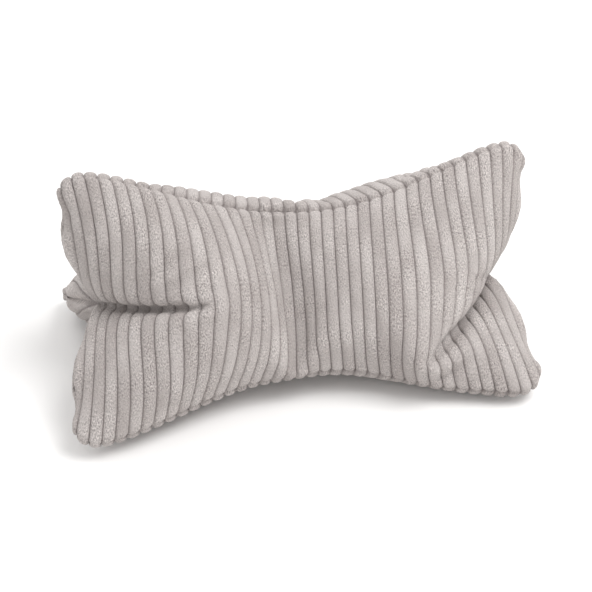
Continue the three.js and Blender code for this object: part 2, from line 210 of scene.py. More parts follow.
class PillowCut(bpy.types.PropertyGroup):
    """Sizes of the flat cut that all three panels share."""

    rib_pitch: bpy.props.FloatProperty(
        name="Rib pitch",
        description="From one valley to the next",
        default=0.011,
        subtype="DISTANCE",
    )
    half_ribs: bpy.props.IntProperty(
        name="Ribs each side",
        description="Ribs from the middle of the cut to its end",
        default=20,
    )
    notch_rib: bpy.props.IntProperty(
        name="Notch rib",
        description="Rib at which the end notch has its point",
        default=19,
    )
    waist_half: bpy.props.FloatProperty(
        name="Half waist",
        description="From the middle line to a long seam",
        default=0.078,
        subtype="DISTANCE",
    )
    lobe_left: bpy.props.FloatProperty(
        name="Left lobe offset",
        description="Middle line to the left tips",
        default=0.113,
        subtype="DISTANCE",
    )
    lobe_right: bpy.props.FloatProperty(
        name="Right lobe offset",
        description="Middle line to the right tips",
        default=0.109,
        subtype="DISTANCE",
    )
    lobe_radius: bpy.props.FloatProperty(
        name="Tip radius",
        description="Radius of the round tip of a lobe",
        default=0.027,
        subtype="DISTANCE",
    )
    side_slope: bpy.props.FloatProperty(
        name="Side slope",
        description="Slope of the long edge at the tip",
        default=math.radians(20),
        subtype="ANGLE",
    )
    end_trim: bpy.props.FloatProperty(
        name="End trim",
        description="Taken off the last rib by the seam",
        default=0.002,
        subtype="DISTANCE",
    )


class PillowStuffing(bpy.types.PropertyGroup):
    """Stuffing, weight and stiffness of the cloth, for one step of the settling."""

    pressure: bpy.props.FloatProperty(
        name="Pressure",
        description="Push of the stuffing on the cloth",
        default=0.0015,
        precision=4,
    )
    weight: bpy.props.FloatProperty(
        name="Weight",
        description="Fall of the cloth in a step, in millimetres",
        default=0.0016,
        precision=4,
    )
    steps: bpy.props.IntProperty(name="Steps", description="Steps of the settling", default=300)
    fine_pressure: bpy.props.FloatProperty(
        name="Fine pressure",
        description="Push of the stuffing on the finer cloth",
        default=0.0012,
        precision=4,
    )
    fine_steps: bpy.props.IntProperty(
        name="Fine steps",
        description="Steps of the finer settling",
        default=90,
    )
    fine_bend: bpy.props.FloatProperty(
        name="Fine bend",
        description="Times the bending stiffness, for the finer cloth",
        default=6.0,
    )
    stretch: bpy.props.FloatProperty(
        name="Stretch",
        description="Stiffness along the threads",
        default=0.9,
    )
    shear: bpy.props.FloatProperty(
        name="Shear",
        description="Stiffness across the threads",
        default=0.35,
    )
    bend_across: bpy.props.FloatProperty(
        name="Bend across ribs",
        description="Stiffness of a fold along the ribs",
        default=0.04,
    )
    bend_along: bpy.props.FloatProperty(
        name="Bend along ribs",
        description="Stiffness of a fold across the ribs",
        default=0.02,
    )
    bend_seam: bpy.props.FloatProperty(
        name="Bend at seams",
        description="Stiffness of the sewn edges",
        default=0.2,
    )
    lobe_thickness: bpy.props.FloatProperty(
        name="Lobe guess",
        description="Half thickness of a lobe before settling",
        default=0.022,
        subtype="DISTANCE",
    )


class PillowRibs(bpy.types.PropertyGroup):
    """Relief of the corduroy."""

    height: bpy.props.FloatProperty(
        name="Rib height",
        description="Crown of a rib above its valley",
        default=0.0027,
        subtype="DISTANCE",
    )
    flatness: bpy.props.FloatProperty(
        name="Rib flatness",
        description="2 for a round rib, more for a flat one",
        default=2.15,
    )
    uneven: bpy.props.FloatProperty(
        name="Uneven height",
        description="Share by which the height wanders",
        default=0.3,
        subtype="FACTOR",
    )
    seam_reach: bpy.props.FloatProperty(
        name="Rib end",
        description="Length over which a rib rounds down to a seam",
        default=0.006,
        subtype="DISTANCE",
    )
    seam_groove: bpy.props.FloatProperty(
        name="Seam groove",
        description="Depth to which the thread draws the seam",
        default=0.003,
        subtype="DISTANCE",
    )
    end_swell: bpy.props.FloatProperty(
        name="End swell",
        description="Share by which a rib swells beside a seam",
        default=0.4,
        subtype="FACTOR",
    )
    seed: bpy.props.IntProperty(
        name="Seed",
        description="Picks the wandering of the ribs",
        default=4,
    )


class PillowLook(bpy.types.PropertyGroup):
    """Colours and finish of the corduroy."""

    pile: bpy.props.StringProperty(
        name="Pile",
        description="Pile that lies towards the eye",
        default="#c4bdba",
    )
    turned: bpy.props.StringProperty(
        name="Turned pile",
        description="Pile that is brushed away",
        default="#aea6a3",
    )
    # Partly the ground cloth and partly painted shade in the hollows between ribs
    valley: bpy.props.StringProperty(
        name="Valley",
        description="Ground cloth between ribs",
        default="#867e7c",
    )
    sheen: bpy.props.FloatProperty(
        name="Sheen",
        description="Light caught by upright fibres",
        default=0.35,
    )
    roughness: bpy.props.FloatProperty(
        name="Roughness",
        description="Dullness of the pile",
        default=0.9,
    )


class PillowStudio(bpy.types.PropertyGroup):
    """Floor, lights and camera."""

    floor: bpy.props.StringProperty(
        name="Floor",
        description="Colour of the floor",
        default="#f4f3f2",
    )
    sky: bpy.props.FloatProperty(
        name="Fill light",
        description="Even light from all round",
        default=0.8,
    )
    key: bpy.props.FloatProperty(
        name="Key light",
        description="Soft light from above right",
        default=19.5,
        unit="POWER",
    )
    azimuth: bpy.props.FloatProperty(
        name="Azimuth",
        description="Camera to the right of the front",
        default=math.radians(-12),
        subtype="ANGLE",
    )
    elevation: bpy.props.FloatProperty(
        name="Elevation",
        description="Camera above the floor's level",
        default=math.radians(32.9),
        subtype="ANGLE",
    )
    distance: bpy.props.FloatProperty(
        name="Distance",
        description="Camera to the middle of the pillow",
        default=1.198,
        subtype="DISTANCE",
    )
    lens: bpy.props.FloatProperty(
        name="Lens",
        description="Focal length in millimetres",
        default=77.8,
    )


class FlatCut:
    """The flat cut in millimetres. X runs across the ribs and Y from the middle line to a seam."""

    def __init__(self, sizes):
        self.pitch = sizes.rib_pitch / MM
        self.ribs = sizes.half_ribs
        self.waist = sizes.waist_half / MM
        self.lobes = (sizes.lobe_left / MM, sizes.lobe_right / MM)
        self.radius = sizes.lobe_radius / MM
        self.slope = sizes.side_slope
        self.half_length = self.pitch * self.ribs
        self.notch = self.pitch * sizes.notch_rib
        self.half_cut = self.half_length - sizes.end_trim / MM

    def _lobe(self, x):
        return np.where(np.asarray(x) < 0, *self.lobes)

    def _tip(self, reach):
        past = reach - self.half_length + self.radius
        return np.sqrt(np.maximum(0, self.radius**2 - past**2))

    def outer(self, x):
        """Long edge: a curve from the waist to the round tip of the lobe."""
        reach, offset = np.abs(x), self._lobe(x)
        join_x = self.half_length - self.radius - self.radius * math.sin(self.slope)
        join_y = offset + self.radius * math.cos(self.slope)
        u = reach / join_x
        curve = self.waist * (2 * u**3 - 3 * u**2 + 1) + join_y * (3 * u**2 - 2 * u**3)
        curve = curve + (u**3 - u**2) * join_x * math.tan(self.slope)
        return np.where(reach > join_x, offset + self._tip(reach), curve)

    def inner(self, x):
        """End edge: straight from the notch to the round tip, and the middle line elsewhere."""
        reach, offset = np.abs(x), self._lobe(x)
        run = self.half_length - self.radius - self.notch
        away = np.hypot(run, offset)
        angle = np.arctan2(offset, run) - np.arcsin(self.radius / away)
        length = np.sqrt(away**2 - self.radius**2)
        join = self.notch + length * np.cos(angle)
        line = length * np.sin(angle) * (reach - self.notch) / (join - self.notch)
        line = np.where(reach <= join, line, offset - self._tip(reach))
        return np.where(reach <= self.notch, 0.0, line)

    def edge_distance(self, x, y):
        """Flat distance of points to a sewn edge. An end edge counts as further off than it is."""
        places = np.linspace(-self.half_cut, self.half_cut, EDGE_STEPS)
        beyond = places[np.abs(places) >= self.notch]
        long_edge = np.stack([places, self.outer(places)], axis=1)
        end_edge = [np.stack([beyond, self.inner(beyond)], axis=1)]
        for side in SIDES:
            end = side * self.half_cut
            run = np.linspace(float(self.inner(end)), float(self.outer(end)), END_STEPS)
            end_edge.append(np.stack([np.full(END_STEPS, end), run], axis=1))
            end_edge.append([(side * self.notch, 0.0)])
        flat = np.stack([np.ravel(x), np.ravel(y)], axis=1)
        batches = np.array_split(flat, DISTANCE_BATCHES)
        nearest = np.full(len(flat), np.inf)
        for edge, scale in ((long_edge, 1), (np.concatenate(end_edge), END_NEARNESS)):
            away = [((batch[:, None] - edge) ** 2).sum(axis=2).min(axis=1) for batch in batches]
            nearest = np.minimum(nearest, scale * np.sqrt(np.concatenate(away)))
        return nearest.reshape(np.shape(x))


def sewn_numbers(cut, columns, row_count):
    """Number of each cloth point by panel, side, column and row. Sewn points share a number."""
    numbers = np.arange(6 * len(columns) * row_count).reshape(3, 2, len(columns), row_count)
    reach = np.abs(columns)
    open_columns = reach < cut.notch + TOUCH
    past = reach > cut.notch - TOUCH
    ends = np.array([0, len(columns) - 1])
    while True:
        before = numbers.copy()
        for panel in range(3):
            upper, lower = numbers[panel]
            opposite = numbers[(panel + 2) % 3, 1]
            middle = np.minimum(upper[open_columns, 0], lower[open_columns, 0])
            upper[open_columns, 0] = lower[open_columns, 0] = middle
            long_seam = np.minimum(upper[:, -1], opposite[:, -1])
            upper[:, -1] = opposite[:, -1] = long_seam
            end_seam = np.minimum(upper[past, 0], opposite[past, 0])
            upper[past, 0] = opposite[past, 0] = end_seam
            tip = np.minimum(upper[ends], opposite[ends])
            upper[ends] = opposite[ends] = tip
        if np.array_equal(before, numbers):
            break
    found, numbers = np.unique(numbers, return_inverse=True)
    return numbers.reshape(3, 2, len(columns), row_count), len(found)


class ClothGrid:
    """Grid of the sewn cover for the settling."""

    def __init__(self, cut, per_rib, rows, end_steps=0):
        self.cut = cut
        self.rows = rows
        steps = np.arange(-per_rib * cut.ribs, per_rib * cut.ribs + 1) * cut.pitch / per_rib
        steps = np.clip(steps, -cut.half_cut, cut.half_cut)
        if end_steps:
            ends = np.linspace(cut.notch, cut.half_cut, end_steps + 1)
            middle = steps[np.abs(steps) < cut.notch + TOUCH]
            steps = np.concatenate([-ends[:0:-1], middle, ends[1:]])
        self.columns = steps
        self.shares = np.linspace(0, 1, rows + 1)
        inner, outer = cut.inner(self.columns)[:, None], cut.outer(self.columns)[:, None]
        self.heights = inner + (outer - inner) * self.shares
        self.at, self.count = sewn_numbers(cut, self.columns, rows + 1)
        self.open = np.abs(self.columns) < cut.notch - TOUCH
        reach = (np.abs(self.columns) - DRAWN_START) / (cut.notch - DRAWN_START)
        reach = np.clip(reach, 0, 1)[:, None]
        drawn = DRAWN_LENGTH * reach**2 * (3 - 2 * reach)
        drawn = drawn * np.exp(-((self.heights / DRAWN_WIDTH) ** 2))
        self.drawn = self.columns[:, None] + np.sign(self.columns)[:, None] * drawn

    def springs(self, stuffing, bend):
        """Springs of the cloth with their flat lengths, in rounds that move no point twice."""
        bend_along, bend_across = stuffing.bend_along * bend, stuffing.bend_across * bend
        found = {}

        def tie(a, b, length, stiffness):
            key = (min(a, b), max(a, b))
            if a != b and key in found:
                old_length, old_stiffness = found[key]
                found[key] = ((old_length + length) / 2, max(old_stiffness, stiffness))
            elif a != b:
                found[key] = (length, stiffness)

        last, rows = len(self.columns), self.rows + 1
        for panel in range(3):
            for half in range(2):
                at = self.at[panel, half].tolist()
                for i in range(last):
                    for k in range(rows):
                        steps = (
                            (0, 1, stuffing.stretch),
                            (1, 0, stuffing.stretch),
                            (1, 1, stuffing.shear),
                            (1, -1, stuffing.shear),
                            (0, 2, bend_along if self.open[i] else stuffing.bend_seam),
                            (2, 0, bend_across if k < self.rows else stuffing.bend_seam),
                        )
                        for di, dk, stiffness in steps:
                            j, m = i + di, k + dk
                            if j < last and 0 <= m < rows:
                                across = self.drawn[j, m] - self.drawn[i, k]
                                along = self.heights[j, m] - self.heights[i, k]
                                tie(at[i][k], at[j][m], math.hypot(across, along), stiffness)
            for i in np.flatnonzero(self.open):
                upper, lower = int(self.at[panel, 0, i, 1]), int(self.at[panel, 1, i, 1])
                tie(upper, lower, 2 * self.heights[i, 1], bend_along)
        used = [0] * self.count
        rounds = {}
        for (a, b), (length, stiffness) in found.items():
            taken = used[a] | used[b]
            turn = 0
            while taken >> turn & 1:
                turn += 1
            used[a] |= 1 << turn
            used[b] |= 1 << turn
            rounds.setdefault(turn, []).append((a, b, length, stiffness))
        sets = [np.array(rounds[turn]).T for turn in sorted(rounds)]
        return [(ends[0].astype(int), ends[1].astype(int), ends[2], ends[3]) for ends in sets]

    def faces(self):
        """Triangles of the cover, facing out."""
        parts = []
        for panel in range(3):
            for half in range(2):
                at = self.at[panel, half]
                a, b, c, d = at[:-1, :-1], at[1:, :-1], at[1:, 1:], at[:-1, 1:]
                pairs = ((a, b, c), (a, c, d)) if half == 0 else ((a, c, b), (a, d, c))
                parts += [np.stack([corner.ravel() for corner in pair], axis=1) for pair in pairs]
        faces = np.concatenate(parts)
        a, b, c = faces.T
        return faces[(a != b) & (b != c) & (c != a)]

    def fill(self, creases):
        """Share of the pressure that reaches each point."""
        fill = np.ones(self.count)
        for crease in creases:
            start, end = np.array(crease["start"], float), np.array(crease["end"], float)
            run = end - start
            loss = {}
            for panel in crease["panels"]:
                for half, side in enumerate(SIDES):
                    places = np.broadcast_arrays(self.columns[:, None], side * self.heights)
                    flat = np.stack(places, axis=2) - start
                    share = np.clip((flat @ run) / (run @ run), 0, 1)
                    away = np.linalg.norm(flat - share[..., None] * run, axis=2) / crease["width"]
                    press = crease["depth"] * (1 - CREASE_TAPER * share) * np.exp(-(away**2))
                    at = self.at[panel, half].ravel().tolist()
                    for point, value in zip(at, press.ravel()):
                        loss.setdefault(point, value)
            fill[list(loss)] -= np.array(list(loss.values()))
        return fill

    def first_shape(self, thickness):
        """First guess: round at the waist and three flat lobes at the ends."""
        sums, shares = np.zeros((self.count, 3)), np.zeros(self.count)
        inner, outer = self.heights[:, :1], self.heights[:, -1:]
        blend = np.clip(np.abs(self.columns) / self.cut.notch, 0, 1)[:, None]
        blend = blend * blend * (3 - 2 * blend)
        share = self.shares[None, :]
        full = np.minimum(1, (outer - inner) / FULL_WIDTH)
        bulge = thickness * full * np.sin(math.pi * share) * blend
        for panel in range(3):
            facing = FRONT_FACING + panel * PANEL_TURN
            for half, side in enumerate(SIDES):
                seam = facing - side * PANEL_TURN / 2
                turn = facing - side * PANEL_TURN * share / 2
                round_part = ROUND_SLACK * outer * (1 - blend)
                flat_part = FLAT_SLACK * self.heights * blend
                y = round_part * np.cos(turn) + flat_part * math.cos(seam)
                y = y + bulge * math.cos(facing)
                z = round_part * np.sin(turn) + flat_part * math.sin(seam)
                z = z + bulge * math.sin(facing)
                x = np.broadcast_to(self.columns[:, None], y.shape)
                at = self.at[panel, half].ravel()
                np.add.at(sums, at, np.stack([x.ravel(), y.ravel(), z.ravel()], axis=1))
                np.add.at(shares, at, 1)
        return sums / shares[:, None]


def settle(grid, stuffing, points, creases, steps, pressure, sweeps, ease_from, bend=1.0):
    """Settle the stuffed cover on its floor, and return its points in millimetres.

    The push of the stuffing eases after the share ease_from of the steps. Bend multiplies the
    bending stiffness of the cloth.
    """
    rounds, faces, fill = grid.springs(stuffing, bend), grid.faces(), grid.fill(creases)
    speed = np.zeros_like(points)
    for step in range(steps):
        rise = min(1, (step + 1) / RISE_STEPS)
        ease = 1 if step < steps * ease_from else EASE_TO
        a, b, c = (points[faces[:, k]] for k in range(3))

        # Half of the cross product is a triangle's area, and each corner takes a third of its push
        push = np.cross(b - a, c - a) / 6
        force = np.zeros_like(points)
        for k in range(3):
            for axis in range(3):
                force[:, axis] += np.bincount(faces[:, k], push[:, axis], grid.count)
        force *= pressure * rise * ease * fill[:, None]
        force[:, 2] -= stuffing.weight
        speed = (speed + force) * DAMPING
        moved = points + speed
        for _ in range(sweeps):
            for first, second, length, stiffness in rounds:
                run = moved[second] - moved[first]
                now = np.sqrt((run * run).sum(axis=1)) + 1e-9
                run *= (0.5 * stiffness * (now - length) / now)[:, None]
                moved[first] += run
                moved[second] -= run
            moved[:, 2] = np.maximum(moved[:, 2], FLOOR_LEVEL)
        speed = moved - points
        points = moved
    return points


def curve_weights(places, count):
    """Matrix that reads a smooth curve at places between evenly numbered points."""
    first = np.minimum(places.astype(int), count - 2)
    u = places - first
    weights = np.zeros((len(places), count + 2))
    rows = np.arange(len(places))
    parts = (
        ((2 - u) * u - 1) * u / 2,
        ((3 * u - 5) * u * u + 2) / 2,
        ((4 - 3 * u) * u + 1) * u / 2,
        (u - 1) * u * u / 2,
    )
    for step, part in enumerate(parts):
        weights[rows, first + step] += part
    return weights


def read_surface(grid, points, columns, shares):
    """Points of the smooth surface by panel, side, column and row."""
    places = np.interp(columns, grid.columns, np.arange(len(grid.columns)))
    across = curve_weights(places, len(grid.columns))
    along = curve_weights(np.asarray(shares) * grid.rows, grid.rows + 1)
    surface = np.zeros((3, 2, len(columns), len(shares), 3))
    for panel in range(3):
        for half in range(2):
            own, other = points[grid.at[panel, half]], points[grid.at[panel, 1 - half]]
            before = np.where(grid.open[:, None], other[:, 1], 2 * own[:, 0] - own[:, 1])
            after = 2 * own[:, -1] - own[:, -2]
            sheet = np.concatenate([before[:, None], own, after[:, None]], axis=1)
            sheet = np.concatenate([sheet[:1], sheet, sheet[-1:]])
            surface[panel, half] = np.einsum("ci,rk,ikd->crd", across, along, sheet)
    return surface


def refine(grid, finer, points):
    """Points of a finer grid on the smooth surface of a coarser one."""
    surface = read_surface(grid, points, finer.columns, finer.shares)
    sums, seen = np.zeros((finer.count, 3)), np.zeros(finer.count)
    np.add.at(sums, finer.at.ravel(), surface.reshape(-1, 3))
    np.add.at(seen, finer.at.ravel(), 1)
    return sums / seen[:, None]


def straighten_ends(grid, points):
    """Lay the first stretch of each trimmed end in line with the end seam that runs into it."""
    points = points.copy()
    ends = ((0, 1), (len(grid.columns) - 1, len(grid.columns) - 2))
    for panel in range(3):
        for half in range(2):
            at = grid.at[panel, half]
            for end, inward in ends:
                heights = grid.heights[end, : END_ROWS + 1]
                rise = heights[0] - grid.heights[inward, 0]
                run = math.hypot(grid.columns[end] - grid.columns[inward], rise)
                reach = run + heights - heights[0]
                share = (reach / reach[-1])[:, None]
                start, stop = points[at[inward, 0]], points[at[end, END_ROWS]]
                points[at[end, : END_ROWS + 1]] = start + (stop - start) * share
    return points


def cover_mesh(cut, grid, points):
    """Smooth closed mesh of the cover, with the flat cut as UV map and attributes for the ribs."""
    ribs = np.arange(-cut.ribs, cut.ribs + 1)[:, None]
    stops = (ribs + np.array(RIB_STOPS)).ravel() * cut.pitch
    columns = np.unique(np.round(np.clip(stops, -cut.half_cut, cut.half_cut), 6))
    shares = 1 - (1 - np.linspace(0, 1, COVER_ROWS + 1)) ** ROW_CROWDING
    numbers, count = sewn_numbers(cut, columns, len(shares))
    surface = read_surface(grid, points, columns, shares)
    inner, outer = cut.inner(columns)[:, None], cut.outer(columns)[:, None]
    heights = inner + (outer - inner) * shares
    edge = cut.edge_distance(np.broadcast_to(columns[:, None], heights.shape), heights)
    edge[:, -1] = 0
    edge[np.abs(columns) > cut.notch - TOUCH, 0] = 0

    places, seen = np.zeros((count, 3)), np.zeros(count)
    across, from_seam = np.zeros(count), np.zeros(count)
    quads, flats = [], []
    for panel in range(3):
        for half, side in enumerate(SIDES):
            at = numbers[panel, half]
            np.add.at(places, at.ravel(), surface[panel, half].reshape(-1, 3))
            np.add.at(seen, at.ravel(), 1)
            across[at] = np.broadcast_to(columns[:, None], at.shape)
            from_seam[at] = edge
            x = np.broadcast_to(columns[:, None], heights.shape)
            flat = np.stack([x, side * heights + 2 * panel * outer.max() + outer.max()], axis=2)
            corners = [(slice(0, -1), slice(0, -1)), (slice(1, None), slice(0, -1))]
            corners += [(slice(1, None), slice(1, None)), (slice(0, -1), slice(1, None))]
            corners = corners if side > 0 else corners[::-1]
            quads.append(np.stack([at[c].ravel() for c in corners], axis=1))
            flats.append(np.stack([flat[c].reshape(-1, 2) for c in corners], axis=1))
    places /= seen[:, None]

    corners, uvs, sizes = [], [], []
    for quad, flat in zip(np.concatenate(quads).tolist(), np.concatenate(flats).tolist()):
        keep = [k for k in range(4) if quad[k] != quad[k - 1]]
        if len({quad[k] for k in keep}) == len(keep) > 2:
            corners += [quad[k] for k in keep]
            uvs += [flat[k] for k in keep]
            sizes.append(len(keep))
    mesh = bpy.data.meshes.new("cover")
    mesh.vertices.add(count)
    mesh.vertices.foreach_set("co", (places * MM).ravel())
    mesh.loops.add(len(corners))
    mesh.loops.foreach_set("vertex_index", corners)
    mesh.polygons.add(len(sizes))
    mesh.polygons.foreach_set("loop_start", np.cumsum([0, *sizes[:-1]]))
    mesh.polygons.foreach_set("use_smooth", [True] * len(sizes))
    mesh.update(calc_edges=True)
    mesh.uv_layers.new(name="cut").uv.foreach_set("vector", (np.array(uvs) * MM).ravel())
    for name, values in (("across", across), ("from_seam", from_seam)):
        mesh.attributes.new(name, "FLOAT", "POINT").data.foreach_set("value", values * MM)
    if mesh.validate():
        raise RuntimeError("the sewn cover has broken faces")
    return mesh


def rib_tree():
    """Geometry Nodes that raise the ribs of a corduroy cover and draw its seams in."""
    tree = bpy.data.node_groups.new("Corduroy ribs", "GeometryNodeTree")
    face = tree.interface
    face.new_socket("Geometry", in_out="INPUT", socket_type="NodeSocketGeometry")
    for name in RIB_SIZES:
        face.new_socket(name, in_out="INPUT", socket_type="NodeSocketFloat")
    face.new_socket("Seed", in_out="INPUT", socket_type="NodeSocketInt")
    face.new_socket("Material", in_out="INPUT", socket_type="NodeSocketMaterial")
    face.new_socket("Geometry", in_out="OUTPUT", socket_type="NodeSocketGeometry")
    add = partial(add_node, tree)

    given = add("NodeGroupInput").outputs
    across = add(ATTRIBUTE, {"Name": "across"}, data_type="FLOAT")
    seam = add(ATTRIBUTE, {"Name": "from_seam"}, data_type="FLOAT")
    position = add("GeometryNodeInputPosition")
    normal = add("GeometryNodeInputNormal")

    # A flat-topped arch from valley to valley
    turns = add(MATHS, [across, given["Rib pitch"]], operation="DIVIDE")
    rib = add(MATHS, [turns], operation="FLOOR")
    phase = add(MATHS, [turns, rib], operation="SUBTRACT")
    from_top = add(MATHS, [phase, 2.0, -1.0], operation="MULTIPLY_ADD")
    from_top = add(MATHS, [from_top], operation="ABSOLUTE")
    fall = add(MATHS, [from_top, given["Rib flatness"]], operation="POWER")
    arch = add(MATHS, [1.0, fall], operation="SUBTRACT", use_clamp=True)

    # Each rib rounds down to a tip at its seam, where its height falls further than its shade
    away = add(MATHS, [seam, given["Rib end"]], operation="DIVIDE")
    near = add(MATHS, [seam, given["Rib end"]], operation="DIVIDE", use_clamp=True)
    near = add(MATHS, [1.0, near], operation="SUBTRACT")
    level = add(MATHS, [1.0, given["Rib flatness"]], operation="DIVIDE")
    lost = add(MATHS, [near, near], operation="MULTIPLY")
    pile = add(MATHS, [arch, lost], operation="SUBTRACT", use_clamp=True)
    pile = add(MATHS, [pile, level], operation="POWER")
    lost = add(MATHS, [near, SEAM_SHADE], operation="MULTIPLY")
    shade = add(MATHS, [arch, lost], operation="SUBTRACT", use_clamp=True)
    shade = add(MATHS, [shade, level], operation="POWER")

    # The thread draws the seam in, and each rib swells beside it
    drawn = add(MATHS, [near, 2.0], operation="POWER")
    drawn = add(MATHS, [drawn, given["Seam groove"]], operation="MULTIPLY")
    beside = add(MATHS, [away, 1.0], operation="SUBTRACT")
    beside = add(MATHS, [beside, beside], operation="MULTIPLY")
    beside = add(MATHS, [1.0, beside], operation="SUBTRACT", use_clamp=True)
    swell = add(MATHS, [beside, given["End swell"], 1.0], operation="MULTIPLY_ADD")

    # Height that wanders along each rib
    step = add(MATHS, [rib, WANDER_STEP, given["Seed"]], operation="MULTIPLY_ADD")
    uneven = {"Vector": position, "W": step, "Scale": WANDER_SCALE, "Detail": 2.0, "Roughness": 0.5}
    wander = add(NOISE, uneven, noise_dimensions="4D")
    wander = add(MATHS, [wander, 0.5], operation="SUBTRACT")
    wander = add(MATHS, [wander, given["Uneven height"], 1.0], operation="MULTIPLY_ADD")
    rise = add(MATHS, [pile, wander], operation="MULTIPLY")
    rise = add(MATHS, [rise, swell], operation="MULTIPLY")
    rise = add(MATHS, [rise, given["Rib height"]], operation="MULTIPLY")
    rise = add(MATHS, [rise, drawn], operation="SUBTRACT")
    offset = add(VECTOR, {0: normal, "Scale": rise}, operation="SCALE")

    # Painted shade, kept as the attribute pile, darkens the colour in valleys and at seams
    stored = {"Geometry": given["Geometry"], "Name": "pile", "Value": shade}
    marked = add("GeometryNodeStoreNamedAttribute", stored, data_type="FLOAT", domain="POINT")
    raised = add("GeometryNodeSetPosition", {"Geometry": marked, "Offset": offset})
    real = add("GeometryNodeRealizeInstances", {"Geometry": raised})
    clad = add("GeometryNodeSetMaterial", {"Geometry": real, "Material": given["Material"]})
    add("NodeGroupOutput", {"Geometry": clad})
    return tree


def corduroy(look, pitch):
    """Wide-wale polyester corduroy, woven with rows of cut pile and dyed taupe.

    The pile stands on end, so it is dull face on and catches light at its edges. Where a hand has
    brushed it the other way, it turns a shade darker, rib by rib. The valleys are darker still,
    partly the ground cloth and partly painted shade, which also darkens the rib ends at seams.
    """
    material = bpy.data.materials.new("polyester wide-wale corduroy")
    material.use_nodes = True
    tree = material.node_tree
    shader = tree.nodes["Principled BSDF"]
    add = partial(add_node, tree)

    cut = add("ShaderNodeUVMap", uv_map="cut")
    place = add("ShaderNodeTexCoord").outputs["Object"]
    across = add("ShaderNodeAttribute", attribute_name="across").outputs["Fac"]
    # The attribute pile is painted shade, low in the valleys between ribs and beside the seams
    pile = add("ShaderNodeAttribute", attribute_name="pile").outputs["Fac"]
    rib = add(MATHS, [across, pitch], operation="DIVIDE")
    rib = add(MATHS, [rib], operation="FLOOR")

    # Brushed patches, each rib a little apart from the next
    step = add(MATHS, [rib, PATCH_STEP], operation="MULTIPLY")
    patches = {"Vector": place, "W": step, "Scale": PATCH_SCALE, "Detail": 2.0, "Roughness": 0.5}
    brushed = add(NOISE, patches, noise_dimensions="4D")
    brushed = add("ShaderNodeMapRange", [brushed, *PATCH_RANGE], interpolation_type="SMOOTHSTEP")

    # Tufts are 0.4 mm wide on the real pile, and drawn coarser so that they show
    along = add(VECTOR, [cut, GRAIN_SCALE], operation="MULTIPLY")
    grain = add(NOISE, {"Vector": along, "Scale": 1.0, "Detail": 2.0, "Roughness": 0.7})

    # Where the tufts stand apart, their grain shows more
    loose = add(NOISE, {"Vector": place, "Scale": LOOSE_SCALE, "Detail": 1.0, "Roughness": 0.5})
    contrast = add("ShaderNodeMapRange", [loose, *LOOSE_RANGE, *GRAIN_CONTRAST])
    speck = add(MATHS, [grain, 0.5], operation="SUBTRACT")
    speck = add(MATHS, [speck, contrast, 1.0], operation="MULTIPLY_ADD")

    # A mix has its colours in inputs 6 and 7 and in output 2
    tones = {"Factor": brushed, 6: linear(look.turned), 7: linear(look.pile)}
    tone = add("ShaderNodeMix", tones, data_type="RGBA").outputs[2]
    speckled = add(VECTOR, {0: tone, "Scale": speck}, operation="SCALE")
    # In valleys and beside seams the colour fades to ground cloth and painted shade
    valley_cloth_and_shade = add(MATHS, [1.0, pile], operation="SUBTRACT", use_clamp=True)
    valley_cloth_and_shade = add(MATHS, [valley_cloth_and_shade, VALLEY_FADE], operation="POWER")
    tones = {"Factor": valley_cloth_and_shade, 6: speckled, 7: linear(look.valley)}
    colour = add("ShaderNodeMix", tones, data_type="RGBA").outputs[2]
    bump = add("ShaderNodeBump", {"Height": grain, "Strength": 1.0, "Distance": GRAIN_DEPTH})

    tree.links.new(colour, shader.inputs["Base Color"])
    tree.links.new(bump.outputs[0], shader.inputs["Normal"])
    shader.inputs["Roughness"].default_value = look.roughness
    shader.inputs["Specular IOR Level"].default_value = 0.2
    shader.inputs["IOR"].default_value = 1.5
    shader.inputs["Sheen Weight"].default_value = look.sheen
    shader.inputs["Sheen Roughness"].default_value = 0.45
    shader.inputs["Sheen Tint"].default_value = linear(SHEEN_TINT)
    return material


def painted_floor(colour):
    """Matt painted board, sprayed: an even pale surface with a faint tooth of 1.4 mm."""
    material = bpy.data.materials.new("matt painted board")
    material.use_nodes = True
    tree = material.node_tree
    shader = tree.nodes["Principled BSDF"]
    place = add_node(tree, "ShaderNodeTexCoord").outputs["Object"]
    tooth = add_node(tree, NOISE, {"Vector": place, "Scale": TOOTH_SCALE})
    relief = {"Height": tooth, "Strength": 0.05, "Distance": TOOTH_DEPTH}
    bump = add_node(tree, "ShaderNodeBump", relief)
    tree.links.new(bump.outputs[0], shader.inputs["Normal"])
    shader.inputs["Base Color"].default_value = linear(colour)
    shader.inputs["Roughness"].default_value = 0.9
    shader.inputs["Specular IOR Level"].default_value = 0.1
    return material


def show(name, mesh):
    """Put a mesh in the scene under a name."""
    thing = bpy.data.objects.new(name, mesh)
    bpy.context.scene.collection.objects.link(thing)
    return thing


class PILLOW_OT_cover(bpy.types.Operator):
    """Sew the three panels, stuff them and settle them on the floor"""

    bl_idname = "pillow.cover"
    bl_label = "Sew and stuff the cover"

    def execute(self, context):
        scene = context.scene
        cut = FlatCut(scene.pillow_cut)
        stuffing = scene.pillow_stuffing
        grid = ClothGrid(cut, **COARSE)
        points = grid.first_shape(stuffing.lobe_thickness / MM)
        steps, pressure = stuffing.steps, stuffing.pressure
        points = settle(grid, stuffing, points, CREASES, steps, pressure, SWEEPS, EASE_FROM)
        finer = ClothGrid(cut, **FINE)
        points = refine(grid, finer, points)
        folds = CREASES + FOLDS
        steps, pressure, bend = stuffing.fine_steps, stuffing.fine_pressure, stuffing.fine_bend
        points = settle(finer, stuffing, points, folds, steps, pressure, FINE_SWEEPS, NEVER, bend)
        points = straighten_ends(finer, points)
        show("cover", cover_mesh(cut, finer, points))
        return {"FINISHED"}


